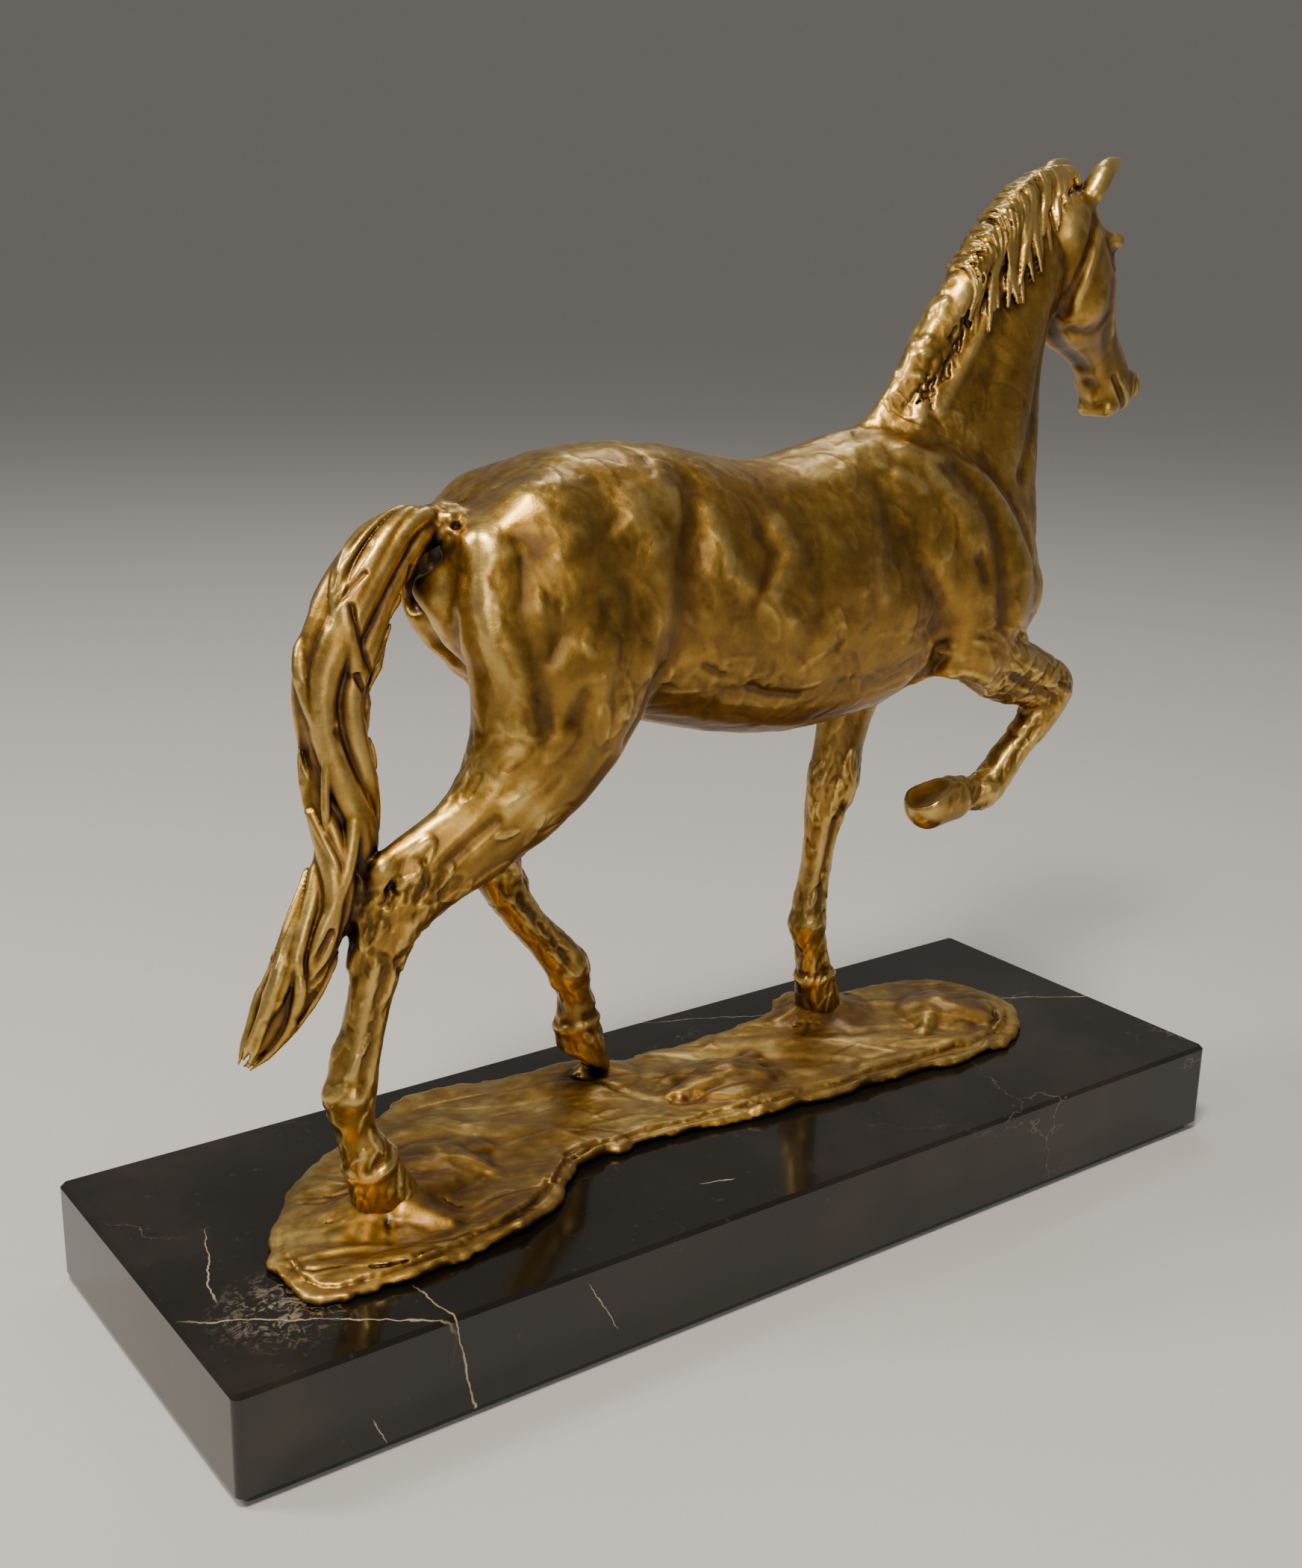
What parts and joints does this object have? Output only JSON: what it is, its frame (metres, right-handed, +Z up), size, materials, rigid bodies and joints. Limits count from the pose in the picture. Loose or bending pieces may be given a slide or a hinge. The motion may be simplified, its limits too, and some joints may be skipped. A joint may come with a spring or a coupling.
{
  "type": "bronze horse statue",
  "caption": "Walking bronze horse with one foreleg raised, cast in welded sections on a rough bronze ground plate, bolted to a polished black marble slab.",
  "frame": {"origin": "middle of the underside of the felt sheet, which the statue stands on", "axes": "+X along the slab, the way the horse walks; +Y to the horse's left; +Z up"},
  "size_m": [0.5048, 0.16, 0.4171],
  "materials": {
    "bronze_gold": "golden-brown patina, rubbed bright on the high places and dark in the hollows",
    "bronze_dark": "darker brown patina with gold rubbed on the edges",
    "bronze_ground": "reddish-brown patina on a rough cast surface",
    "black_marble": "polished, with thin white and ochre veins",
    "pin_bronze": "drawn rod, bare",
    "steel": "zinc-plated",
    "felt": "pressed wool felt"
  },
  "bodies": {
    "root": {"felt_sheet": "felt", "marble_base": "black_marble", "ground_plate": "bronze_ground", "rear_stud": "steel", "rear_washer": "steel", "rear_nut": "steel", "middle_stud": "steel", "middle_washer": "steel", "middle_nut": "steel", "front_stud": "steel", "front_washer": "steel", "front_nut": "steel", "body_casting": "bronze_gold", "head_neck_casting": "bronze_gold", "right_foreleg_casting": "bronze_gold", "left_foreleg_casting": "bronze_dark", "right_hind_leg_casting": "bronze_gold", "left_hind_leg_casting": "bronze_dark", "tail_casting": "bronze_dark", "right_hind_hoof_pin": "pin_bronze", "left_hind_hoof_pin": "pin_bronze", "left_fore_hoof_pin": "pin_bronze"}
  },
  "joints": []
}
